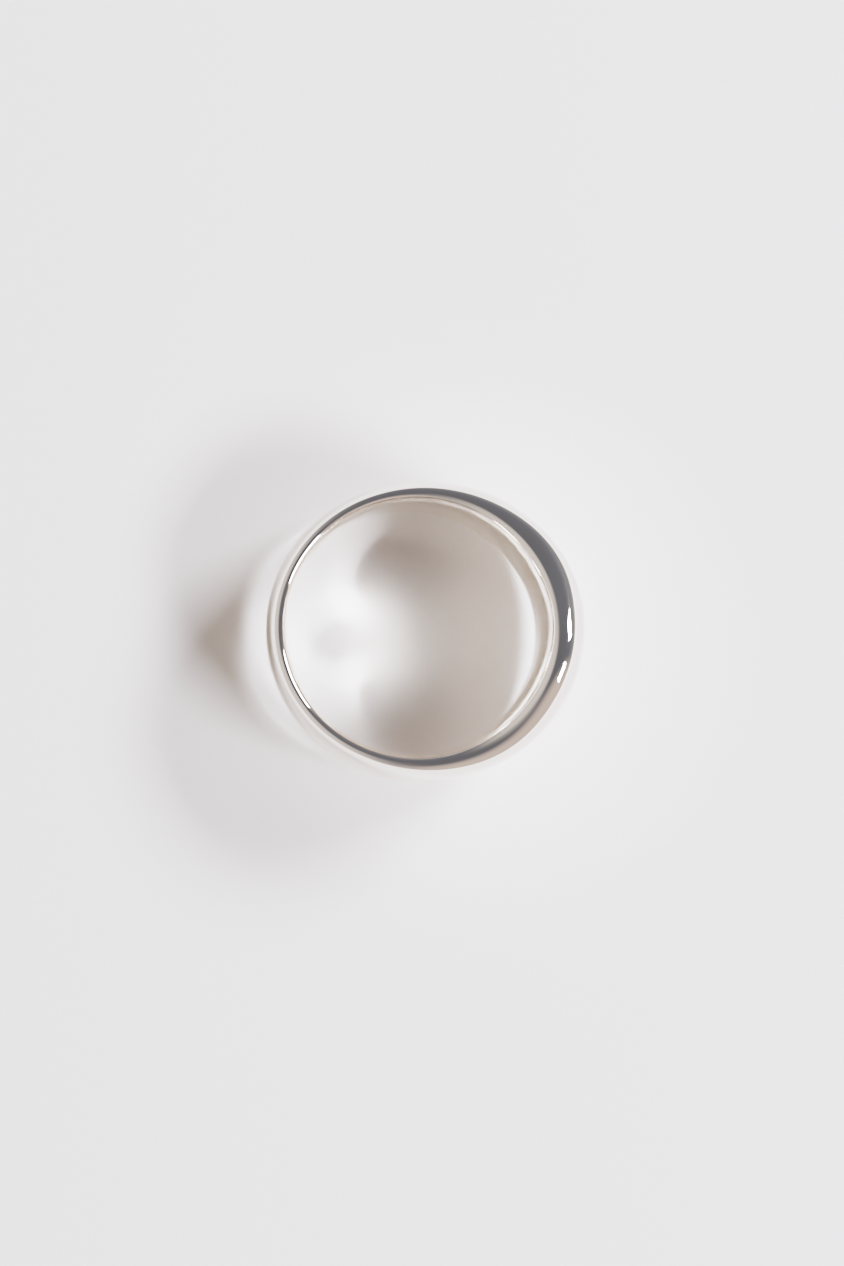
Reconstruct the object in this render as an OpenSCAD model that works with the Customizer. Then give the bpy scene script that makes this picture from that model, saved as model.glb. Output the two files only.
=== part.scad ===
// A domed silver ring with a peaked front, cast and polished in one piece, lying on its side.
// The finger hole's axis is +Z and the thick front of the band faces +X.
// The origin is on the table, under the middle of the ring's outline.

/* [Finger hole] */
// Diameter of the finger hole
hole_d = 17.4; // [15:0.1:22]

/* [Wall] */
// Wall from the finger hole to the outside, at the front
wall_front = 3.05; // [2.4:0.05:3.6]
// Wall from the finger hole to the outside, at the back
wall_back = 1.4; // [1.1:0.05:2]
// How quickly the wall thins away from the front
wall_falloff = 2.2; // [1:0.1:5]

/* [Upper edge] */
// Height of the upper edge at the back
edge_back = 5.8; // [4.5:0.1:6.5]
// Even rise of the upper edge from the back to the front
edge_rise = 2.2; // [0:0.1:3]
// Extra rise of the crest at the front
crest_rise = 2.4; // [0:0.05:4]
// How narrow the crest is round the band
crest_sharpness = 15; // [4:1:18]
// How far the crest stands to one side of the thickest part of the wall, in degrees
crest_turn = -9; // [-15:1:15]

/* [Lower edge] */
// Gap under the arched lower edge at the front
front_lift = 1.1; // [0:0.1:2.6]
// Gap under the arched lower edge at the back
back_lift = 1.4; // [0:0.1:1.6]
// Angle from the front to each of the two low points that the ring rests on
rest_angle = 67.1; // [60:0.1:90]

/* [Rounded edges] */
// Height from the upper edge down to the widest line of the outside, beside the crest
shoulder_front = 0.55; // [0.5:0.05:3]
// The same height at the back, where it is held to half the band's height
shoulder_back = 3.4; // [1.5:0.1:3.6]
// How far the widest line stays down under the crest: 0 lets it climb with the crest, 1 keeps it level
shoulder_level = 1.0; // [0:0.1:1]
// Distance from the finger hole out to the highest line of the edge, at the front
ridge_front = 1.15; // [0.8:0.05:1.6]
// The same distance at the back
ridge_back = 0.55; // [0.4:0.05:0.8]
// Height over which the edge rounds over into the finger hole, at the front
mouth_front = 3.0; // [1.2:0.1:3.4]
// The same height at the back
mouth_back = 1.2; // [0.6:0.1:1.8]
// Shape of that rounding: 1 is a round edge, 2 is a flat bevel
mouth_bevel = 1.0; // [1:0.05:1.9]

/* [Hidden] */

// Cross-sections round the band, and steps across the dome and each rounded mouth
sections = 120;
dome_steps = 16;
mouth_steps = 6;
// The shell stands this far inside the hole's wall, and its mouths stop this far outside it,
// so that the round hole is cut as a true cylinder
cut_depth = 0.3;
cut_rise = 0.12;
mouth_stop = 0.03;
hole_r = hole_d / 2;
// The front wall is thicker, so the hole's axis lies this far from the middle of the outline
hole_x = (wall_back - wall_front) / 2;
rest_cos = cos(rest_angle);

// 1 at the front of the ring, 0 at the back
function frontness(angle) = (1 + cos(angle)) / 2;

// A size that goes from its back value to its front value as the wall does
function taper(back, front, angle) = back + (front - back) * pow(frontness(angle), wall_falloff);

// How far the crest rises above the rest of the upper edge
function crest(angle) = crest_rise * pow(frontness(angle - crest_turn), crest_sharpness);

// Height of the upper edge above the table
function upper_edge(angle) = edge_back + edge_rise * frontness(angle) + crest(angle);

// Height of the lower edge, which touches the table at rest_angle on each side
function lower_edge(angle) =
    cos(angle) > rest_cos
        ? front_lift * pow((cos(angle) - rest_cos) / (1 - rest_cos), 2)
        : back_lift * pow((rest_cos - cos(angle)) / (1 + rest_cos), 2);

// The outer face: a quarter ellipse from the upper ridge out and down to the widest line,
// and another from there down and in to the lower ridge
function dome(ridge_r, outer_r, low, high, drop) =
    let (widest = high - drop)
    [for (i = [0 : dome_steps])
        let (turn = 90 - 180 * i / dome_steps)
        [ridge_r + (outer_r - ridge_r) * cos(turn),
            widest + (turn > 0 ? drop : widest - low) * sin(turn)]];

// One rounded mouth: a softened bevel from the ridge in towards the hole
function mouth(ridge_r, reach, edge, depth) =
    [for (i = [1 : mouth_steps])
        let (turn = 90 * i / mouth_steps)
        [ridge_r - reach * pow(sin(turn), mouth_bevel), edge + depth * (1 - pow(cos(turn), mouth_bevel))]];

// The same points from the hole back up to the ridge, without the ridge point itself
function reversed(points) = [for (i = [len(points) - 1 : -1 : 0]) points[i]];

// Cross-section of the band at an angle from the front, as [radius, height] points
function section(angle) =
    let (
        ridge = taper(ridge_back, ridge_front, angle),
        depth = taper(mouth_back, mouth_front, angle),
        outer_r = hole_r + taper(wall_back, wall_front, angle),
        ridge_r = hole_r + ridge,
        reach = ridge - mouth_stop,
        low = lower_edge(angle),
        high = upper_edge(angle),
        shoulder = taper(shoulder_back, shoulder_front, angle) + shoulder_level * crest(angle)
    )
    concat(
        dome(ridge_r, outer_r, low, high, min(shoulder, (high - low) / 2)),
        mouth(ridge_r, reach, low, depth),
        [[hole_r - cut_depth, low + depth + cut_rise], [hole_r - cut_depth, high - depth - cut_rise]],
        reversed(mouth(ridge_r, reach, high, -depth))
    );

// A closed loop of cross-sections, as a solid of triangles
module ring_shell() {
    rows = [for (s = [0 : sections - 1]) section(360 * s / sections)];
    width = len(rows[0]);
    points = [for (s = [0 : sections - 1]) for (p = rows[s])
        [p[0] * cos(360 * s / sections), p[0] * sin(360 * s / sections), p[1]]];
    function corner(s, k) = (s % sections) * width + k % width;
    faces = [for (s = [0 : sections - 1]) for (k = [0 : width - 1]) each [
        [corner(s, k), corner(s + 1, k), corner(s + 1, k + 1)],
        [corner(s, k), corner(s + 1, k + 1), corner(s, k + 1)]]];
    polyhedron(points = points, faces = faces, convexity = 6);
}

// The band: the shell with the round finger hole cut through it
module band() {
    color("silver")
        translate([hole_x, 0, 0])
            difference() {
                ring_shell();
                translate([0, 0, -1])
                    cylinder(r = hole_r, h = edge_back + edge_rise + crest_rise + 2, $fn = 240);
            }
}

band();
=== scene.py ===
import math
import bpy
from mathutils import Matrix, Vector


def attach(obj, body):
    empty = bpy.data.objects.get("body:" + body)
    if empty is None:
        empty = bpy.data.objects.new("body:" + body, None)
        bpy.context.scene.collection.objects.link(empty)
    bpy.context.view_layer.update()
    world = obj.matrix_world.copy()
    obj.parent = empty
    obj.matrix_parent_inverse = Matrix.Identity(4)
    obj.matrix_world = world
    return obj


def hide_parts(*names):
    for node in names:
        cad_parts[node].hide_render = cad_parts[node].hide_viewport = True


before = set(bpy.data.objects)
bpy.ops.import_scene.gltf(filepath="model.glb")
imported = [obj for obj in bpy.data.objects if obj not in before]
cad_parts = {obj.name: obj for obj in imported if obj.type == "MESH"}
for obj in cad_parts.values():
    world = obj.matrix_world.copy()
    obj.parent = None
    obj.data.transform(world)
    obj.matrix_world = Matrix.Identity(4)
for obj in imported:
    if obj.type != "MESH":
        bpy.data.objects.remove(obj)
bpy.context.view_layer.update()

# --- Band ---
# The whole ring is one piece of cast sterling silver, filed and polished to a mirror: a round finger
# hole, a domed outside that is thick and peaked at the front and slim at the back, and edges that
# round over softly into the hole. It rests on two low points, one on each side of the front.
MM = 0.001
SIZES = {
    "hole radius": 8.7,
    "wall back": 1.4, "wall front": 3.05, "wall falloff": 2.2,
    "edge back": 5.8, "edge rise": 2.2,
    "crest rise": 2.4, "crest sharpness": 15, "crest turn": math.radians(-9),
    "front lift": 1.1, "back lift": 1.4, "rest cosine": math.cos(math.radians(67.1)),
    "shoulder back": 3.4, "shoulder front": 0.55, "shoulder level": 1.0,
    "ridge back": 0.55, "ridge front": 1.15,
    "mouth back": 1.2, "mouth front": 3.0, "mouth bevel": 1.0,
}
# The front wall is thicker, so the hole's axis lies this far from the middle of the outline
HOLE_X = (SIZES["wall back"] - SIZES["wall front"]) / 2
SIZES["hole x"] = HOLE_X


def add(tree, kind, settings=None, **links):
    """Adds a node with its settings, and sets or links its inputs, written as _0 for the first or by name."""
    made = tree.nodes.new(kind)
    for key, value in (settings or {}).items():
        setattr(made, key, value)
    for key, value in links.items():
        socket = made.inputs[int(key[1:])] if key[0] == "_" else made.inputs[key.replace("_", " ")]
        if isinstance(value, bpy.types.NodeSocket):
            tree.links.new(value, socket)
        else:
            socket.default_value = value
    return made


def linear(hexa):
    """A colour written as sRGB hex, as the linear colour that Blender wants."""
    parts = [int(hexa[i:i + 2], 16) / 255 for i in (0, 2, 4)]
    return [*(c / 12.92 if c <= 0.04045 else ((c + 0.055) / 1.055) ** 2.4 for c in parts), 1.0]


# Sterling silver, polished on a felt wheel and then worn for a while: a bright, faintly warm mirror
# whose gloss drifts a little, with hair-fine rubbing marks that only soften the highlights.
DRIFT_MM = 2.5  # a patch where the polish is a little duller
RUB_MM = 0.4  # one rubbing mark, drawn as coarse as it needs to show
RUB_DEPTH_MM = 0.02
silver = bpy.data.materials.new("polished_sterling_silver")
silver.use_nodes = True
st = silver.node_tree
metal = st.nodes["Principled BSDF"]
metal.inputs["Metallic"].default_value = 1.0
place = add(st, "ShaderNodeTexCoord").outputs["Object"]
drift = add(st, "ShaderNodeTexNoise", Vector=place, Scale=1 / (DRIFT_MM * MM), Detail=3.0).outputs["Fac"]
rub = add(st, "ShaderNodeTexNoise", Vector=place, Scale=1 / (RUB_MM * MM), Detail=2.0).outputs["Fac"]
gloss = add(st, "ShaderNodeMapRange", _0=drift, _1=0.3, _2=0.7, _3=0.035, _4=0.07)
tone = add(st, "ShaderNodeMix", {"data_type": "RGBA"}, _0=drift, _6=linear("f8f3ec"), _7=linear("faf6f0"))
marks = add(st, "ShaderNodeBump", Strength=0.02, Distance=RUB_DEPTH_MM * MM, Height=rub)
st.links.new(gloss.outputs[0], metal.inputs["Roughness"])
st.links.new(tone.outputs[2], metal.inputs["Base Color"])
st.links.new(marks.outputs[0], metal.inputs["Normal"])

# The band starts as a flat sheet, once round the ring along X and once round the band along Y,
# and one rule of arithmetic bends it: wall, edges and mouths all swell from the back to the front.
tree = bpy.data.node_groups.new("band_rule", "GeometryNodeTree")
for name in SIZES:
    tree.interface.new_socket(name, in_out="INPUT", socket_type="NodeSocketFloat")
tree.interface.new_socket("Geometry", in_out="OUTPUT", socket_type="NodeSocketGeometry")
rule = {socket.name: socket for socket in tree.nodes.new("NodeGroupInput").outputs if socket.name in SIZES}
AROUND, ACROSS = 640, 132
sheet = add(tree, "GeometryNodeMeshGrid", _0=1.0, _1=1.0, _2=AROUND + 1, _3=ACROSS + 1)
spot = add(tree, "ShaderNodeSeparateXYZ", _0=add(tree, "GeometryNodeInputPosition").outputs[0])
rule["sheet x"], rule["sheet y"] = spot.outputs[0], spot.outputs[1]

# Each step of the rule: its name, the arithmetic, and what goes in. First the way round the ring.
STEPS = [
    ("turned", "ADD", "sheet x", 0.5),
    ("angle", "MULTIPLY", "turned", 2 * math.pi),
    ("along", "ADD", "sheet y", 0.5),
    ("cosine", "COSINE", "angle"),
    ("sine", "SINE", "angle"),
    ("twice front", "ADD", "cosine", 1.0),
    ("front", "DIVIDE", "twice front", 2.0),
    ("share", "POWER", "front", "wall falloff"),
]
# What is slim at the back and full at the front
for size in ("wall", "ridge", "mouth", "shoulder"):
    STEPS += [
        (size + " gain", "SUBTRACT", size + " front", size + " back"),
        (size, "MULTIPLY_ADD", size + " gain", "share", size + " back"),
    ]
STEPS += [
    # The upper edge, with its crest
    ("from crest", "SUBTRACT", "angle", "crest turn"),
    ("crest cosine", "COSINE", "from crest"),
    ("twice nearness", "ADD", "crest cosine", 1.0),
    ("nearness", "DIVIDE", "twice nearness", 2.0),
    ("peak", "POWER", "nearness", "crest sharpness"),
    ("crest", "MULTIPLY", "crest rise", "peak"),
    ("even edge", "MULTIPLY_ADD", "edge rise", "front", "edge back"),
    ("high", "ADD", "even edge", "crest"),
    # The lower edge, arched in front of the two low points and behind them
    ("past rest", "SUBTRACT", "cosine", "rest cosine"),
    ("ahead", "MAXIMUM", "past rest", 0.0),
    ("ahead span", "SUBTRACT", 1.0, "rest cosine"),
    ("ahead share", "DIVIDE", "ahead", "ahead span"),
    ("ahead arch", "MULTIPLY", "ahead share", "ahead share"),
    ("behind", "MINIMUM", "past rest", 0.0),
    ("behind span", "ADD", 1.0, "rest cosine"),
    ("behind share", "DIVIDE", "behind", "behind span"),
    ("behind arch", "MULTIPLY", "behind share", "behind share"),
    ("back arch", "MULTIPLY", "back lift", "behind arch"),
    ("low", "MULTIPLY_ADD", "front lift", "ahead arch", "back arch"),
]
# The walk round the band: down the outer dome, round the lower mouth, up the hole's wall, round the
# upper mouth. Each stretch starts at one share of the walk and is so long.
WALK = (("dome", 0.0, 0.5), ("lower", 0.5, 0.2), ("straight", 0.7, 0.1), ("upper", 0.8, 0.2))
for stretch, start, length in WALK:
    STEPS += [
        (stretch + " past", "SUBTRACT", "along", start),
        (stretch + " walked", "DIVIDE", stretch + " past", length),
        (stretch + " begun", "MAXIMUM", stretch + " walked", 0.0),
        (stretch + " stage", "MINIMUM", stretch + " begun", 1.0),
    ]
STEPS += [
    ("dome turn", "MULTIPLY", "dome stage", math.pi),
    ("lower turn", "MULTIPLY", "lower stage", math.pi / 2),
    ("upper turn", "MULTIPLY", "upper stage", math.pi / 2),
]
# A mouth's sines and cosines, flattened from a round edge towards a bevel
for mouth in ("lower", "upper"):
    for wave in ("sine", "cosine"):
        STEPS += [
            (f"{mouth} round {wave}", wave.upper(), mouth + " turn"),
            (f"{mouth} kept {wave}", "MAXIMUM", f"{mouth} round {wave}", 0.0),
            (f"{mouth} {wave}", "POWER", f"{mouth} kept {wave}", "mouth bevel"),
        ]
STEPS += [
    # How far out from the hole's axis
    ("dome sine", "SINE", "dome turn"),
    ("dome depth", "SUBTRACT", "wall", "ridge"),
    ("dome reach", "MULTIPLY", "dome depth", "dome sine"),
    ("ridge radius", "ADD", "hole radius", "ridge"),
    ("reach", "ADD", "ridge radius", "dome reach"),
    ("coming out", "SUBTRACT", "upper cosine", 1.0),
    ("inward", "ADD", "lower sine", "coming out"),
    ("mouth reach", "MULTIPLY", "ridge", "inward"),
    ("radius", "SUBTRACT", "reach", "mouth reach"),
    # How high: the widest line lies a shoulder below the upper edge, or halfway down at most
    ("rise", "SUBTRACT", "high", "low"),
    ("full shoulder", "MULTIPLY_ADD", "shoulder level", "crest", "shoulder"),
    ("half rise", "DIVIDE", "rise", 2.0),
    ("drop", "MINIMUM", "full shoulder", "half rise"),
    ("widest", "SUBTRACT", "high", "drop"),
    ("dome cosine", "COSINE", "dome turn"),
    ("dome upper", "MAXIMUM", "dome cosine", 0.0),
    ("dome lower", "MINIMUM", "dome cosine", 0.0),
    ("above", "MULTIPLY_ADD", "drop", "dome upper", "widest"),
    ("skirt", "SUBTRACT", "widest", "low"),
    ("dome height", "MULTIPLY_ADD", "skirt", "dome lower", "above"),
    ("going in", "SUBTRACT", 1.0, "lower cosine"),
    ("rounding", "ADD", "going in", "upper sine"),
    ("edge height", "MULTIPLY_ADD", "mouth", "rounding", "dome height"),
    ("both mouths", "MULTIPLY", "mouth", 2.0),
    ("straight wall", "SUBTRACT", "rise", "both mouths"),
    ("climb", "MULTIPLY", "straight wall", "straight stage"),
    ("height", "ADD", "edge height", "climb"),
    ("out x", "MULTIPLY_ADD", "radius", "cosine", "hole x"),
    ("out y", "MULTIPLY", "radius", "sine"),
]
for name, how, *terms in STEPS:
    goes_in = {f"_{i}": rule.get(term, term) for i, term in enumerate(terms)}
    rule[name] = add(tree, "ShaderNodeMath", {"operation": how}, **goes_in).outputs[0]

bent = add(tree, "ShaderNodeCombineXYZ", _0=rule["out x"], _1=rule["out y"], _2=rule["height"])
scaled = add(tree, "ShaderNodeVectorMath", {"operation": "SCALE"}, _0=bent.outputs[0], Scale=MM)
moved = add(tree, "GeometryNodeSetPosition", Geometry=sheet.outputs[0], Position=scaled.outputs[0])
closed = add(tree, "GeometryNodeMergeByDistance", Geometry=moved.outputs[0], Distance=1e-7)
smooth = add(tree, "GeometryNodeSetShadeSmooth", Geometry=closed.outputs[0])
real = add(tree, "GeometryNodeRealizeInstances", Geometry=smooth.outputs[0])
clad = add(tree, "GeometryNodeSetMaterial", Geometry=real.outputs[0], Material=silver)
add(tree, "NodeGroupOutput", _0=clad.outputs[0])

seed = bpy.data.objects.new("band_seed", bpy.data.meshes.new("band_seed"))
bpy.context.scene.collection.objects.link(seed)
maker = seed.modifiers.new("band", "NODES")
maker.node_group = tree
for item in tree.interface.items_tree:
    if item.in_out == "INPUT":
        maker[item.identifier] = float(SIZES[item.name])
ready = seed.evaluated_get(bpy.context.evaluated_depsgraph_get())
shape = bpy.data.meshes.new_from_object(ready)
bpy.data.objects.remove(seed)
shape.name = "silver_band"
band = bpy.data.objects.new("silver_band", shape)
bpy.context.scene.collection.objects.link(band)
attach(band, "root")
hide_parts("band")

# --- Table ---
# A board faced with plain white laminate, matt and even, wide enough to fill the picture and the
# ring's reflections. The ring only lies on it.
TABLE_WIDE = 2.5
table_white = bpy.data.materials.new("matt_white_laminate")
table_white.use_nodes = True
skin = table_white.node_tree.nodes["Principled BSDF"]
skin.inputs["Base Color"].default_value = linear("e7e6e7")
skin.inputs["Roughness"].default_value = 0.9
skin.inputs["Specular IOR Level"].default_value = 0.0
bpy.ops.mesh.primitive_plane_add(size=TABLE_WIDE)
table = bpy.context.object
table.name = "table"
table.data.materials.append(table_white)

# --- Light ---
# Two soft windows low at the right of the picture, and a dim warm room above a wide white table.
# Angles are turned from the picture's right, anticlockwise, and climb from the table.
PICTURE_TURN = 5.0  # degrees from the ring's front round to the picture's right
WINDOW_WIDE, WINDOW_HIGH = 0.42, 0.20
WATTS = 10.0  # a metre off and straight above, this adds about 0.8 to the white table's light


def way_to(turn, climb):
    """The direction of something in the room."""
    a, e = math.radians(turn + PICTURE_TURN), math.radians(climb)
    return Vector((math.cos(a) * math.cos(e), math.sin(a) * math.cos(e), math.sin(e)))


for turn, climb, bright in ((-29, 31.5, 0.60), (33, 27, 0.60)):
    aim = way_to(turn, climb)
    lamp = bpy.data.lights.new("window", "AREA")
    lamp.shape = "RECTANGLE"
    lamp.size, lamp.size_y = WINDOW_WIDE, WINDOW_HIGH
    lamp.color = (0.975, 0.985, 1.05)
    lamp.energy = bright * WATTS / math.sin(math.radians(climb))
    stand = bpy.data.objects.new("window", lamp)
    stand.location = aim
    stand.rotation_euler = aim.to_track_quat("Z", "Y").to_euler()
    bpy.context.scene.collection.objects.link(stand)

room = bpy.data.worlds.new("room")
bpy.context.scene.world = room
room.use_nodes = True
wt = room.node_tree
direction = add(wt, "ShaderNodeTexCoord").outputs["Generated"]
upward = add(wt, "ShaderNodeSeparateXYZ", _0=direction).outputs[2]
# The table's white runs out to the horizon, and walls and ceiling darken above it
ramp = add(wt, "ShaderNodeValToRGB", _0=upward)
WALL_TONES = [(0.0, "e4e2e1"), (0.04, "b0a8a4"), (0.16, "808186"), (0.45, "6d6e74"), (1.0, "67686d")]
while len(ramp.color_ramp.elements) < len(WALL_TONES):
    ramp.color_ramp.elements.new(0.5)
for stop, (height_up, hexa) in zip(ramp.color_ramp.elements, WALL_TONES):
    stop.position = height_up
    stop.color = linear(hexa)


def toward(turn, climb, start, end):
    """How near a direction is to one way out of the room, from 0 at start to 1 at end."""
    near = add(wt, "ShaderNodeVectorMath", {"operation": "DOT_PRODUCT"}, _0=direction, _1=way_to(turn, climb))
    return add(wt, "ShaderNodeMapRange", {"interpolation_type": "SMOOTHSTEP"},
               _0=near.outputs["Value"], _1=start, _2=end).outputs[0]


# A warm grey wall stands low at the bottom right, and another at the left faces the windows
wall_low = add(wt, "ShaderNodeMix", {"data_type": "RGBA"},
               _0=toward(-60, 4, 0.5, 0.95), _6=ramp.outputs[0], _7=linear("bcaea8"))
wall_left = add(wt, "ShaderNodeMix", {"data_type": "RGBA"},
                _0=toward(190, 10, 0.3, 0.9), _6=wall_low.outputs[2], _7=linear("c8c0bc"))
# What reaches the table from the room is warm and soft, and comes mostly from that left wall
fill = add(wt, "ShaderNodeMix", {"data_type": "RGBA"},
           _0=toward(180, 5, 0.2, 0.95), _6=(0.18, 0.142, 0.125, 1), _7=(0.97, 0.88, 0.79, 1))
scattered = add(wt, "ShaderNodeLightPath").outputs["Diffuse Depth"]
glow = add(wt, "ShaderNodeMix", {"data_type": "RGBA"},
           _0=scattered, _6=wall_left.outputs[2], _7=fill.outputs[2])
wt.links.new(glow.outputs[2], wt.nodes["Background"].inputs[0])
# The hole's polished wall throws sharp curved patches of window light on to the table
bpy.context.scene.cycles.blur_glossy = 0.0
bpy.context.scene.cycles.sample_clamp_indirect = 0.0

# --- Camera ---
# Almost straight above, leaning a little to the lower left of the picture. Sizes are in millimetres
# and in pixels of the 844 by 1266 picture, where the hole's middle, 3.5 mm up, is seen at HOLE_SEEN.
PICTURE_WIDE, PICTURE_HIGH = 844, 1266
PIXELS_PER_MM = 14.38
HOLE_SEEN, HOLE_SEEN_UP = (410.2, 631.9), 3.5
AWAY = 400.0
SENSOR = 36.0
lean, lean_way = math.radians(8.15), math.radians(228.5 + PICTURE_TURN)
back = Vector((math.cos(lean_way) * math.sin(lean), math.sin(lean_way) * math.sin(lean), math.cos(lean)))
right = Vector((math.cos(math.radians(PICTURE_TURN)), math.sin(math.radians(PICTURE_TURN)), 0))
right = (right - back * right.dot(back)).normalized()
up = back.cross(right)
eye = bpy.data.cameras.new("camera")
eye.sensor_fit = "AUTO"
eye.sensor_width = SENSOR
eye.lens = SENSOR * AWAY * PIXELS_PER_MM / PICTURE_HIGH
across = (PICTURE_WIDE / 2 - HOLE_SEEN[0]) / PIXELS_PER_MM
down = (HOLE_SEEN[1] - PICTURE_HIGH / 2) / PIXELS_PER_MM
aim_at = Vector((HOLE_X, 0, HOLE_SEEN_UP)) + right * across + up * down
camera = bpy.data.objects.new("camera", eye)
camera.location = (aim_at + back * AWAY) * MM
camera.rotation_euler = Matrix((right, up, back)).transposed().to_euler()
bpy.context.scene.collection.objects.link(camera)
bpy.context.scene.camera = camera
bpy.context.scene.view_settings.view_transform = "Filmic"
bpy.context.scene.view_settings.look = "Very High Contrast"
